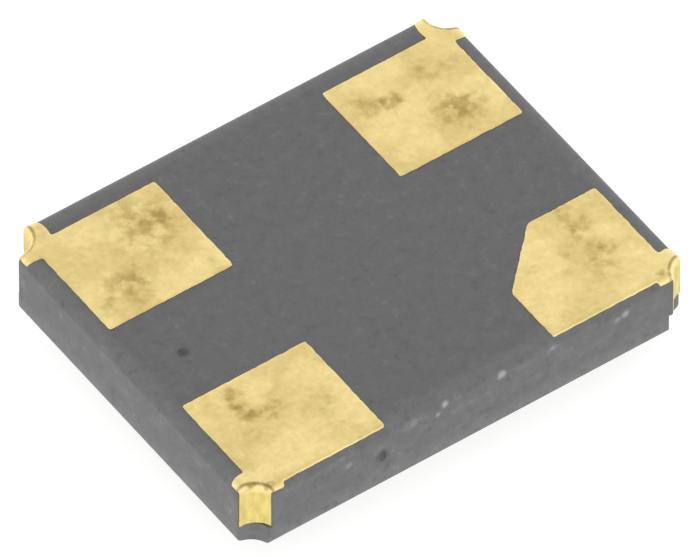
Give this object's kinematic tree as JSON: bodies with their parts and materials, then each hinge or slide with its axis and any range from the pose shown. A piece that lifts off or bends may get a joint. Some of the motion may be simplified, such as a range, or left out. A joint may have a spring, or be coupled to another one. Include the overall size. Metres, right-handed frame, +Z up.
{
  "type": "crystal oscillator",
  "caption": "Flat surface-mount quartz crystal: dark ceramic body with gold corner terminals, notched corners, brazed ring and welded metal lid.",
  "frame": {"origin": "on the outer face of the lid, below the centre of the ceramic body", "axes": "+X along the long side, +Y along the short side, +Z up out of the terminal face; the marked terminal is at +X and -Y"},
  "size_m": [0.0024, 0.002, 0.0005],
  "materials": {
    "ceramic": "matte",
    "terminal_plating": "satin",
    "inner_plating": "satin",
    "tungsten_fill": "matte",
    "seal_plating": "satin",
    "braze_metal": "satin",
    "ring_metal": "satin",
    "lid_metal": "satin",
    "quartz": "polished",
    "electrode_film": "satin",
    "adhesive": "matte"
  },
  "bodies": {
    "root": {"ceramic_body": "ceramic", "terminal_1": "terminal_plating", "terminal_2": "terminal_plating", "terminal_3": "terminal_plating", "terminal_4": "terminal_plating", "bond_pad_1": "inner_plating", "bond_pad_3": "inner_plating", "ground_link_2": "tungsten_fill", "ground_link_4": "tungsten_fill", "seal_frame": "seal_plating", "braze_frame": "braze_metal", "seal_ring": "ring_metal", "lid": "lid_metal", "quartz_blank": "quartz", "electrode_upper": "electrode_film", "electrode_lower": "electrode_film", "adhesive_1": "adhesive", "adhesive_3": "adhesive"}
  },
  "joints": []
}
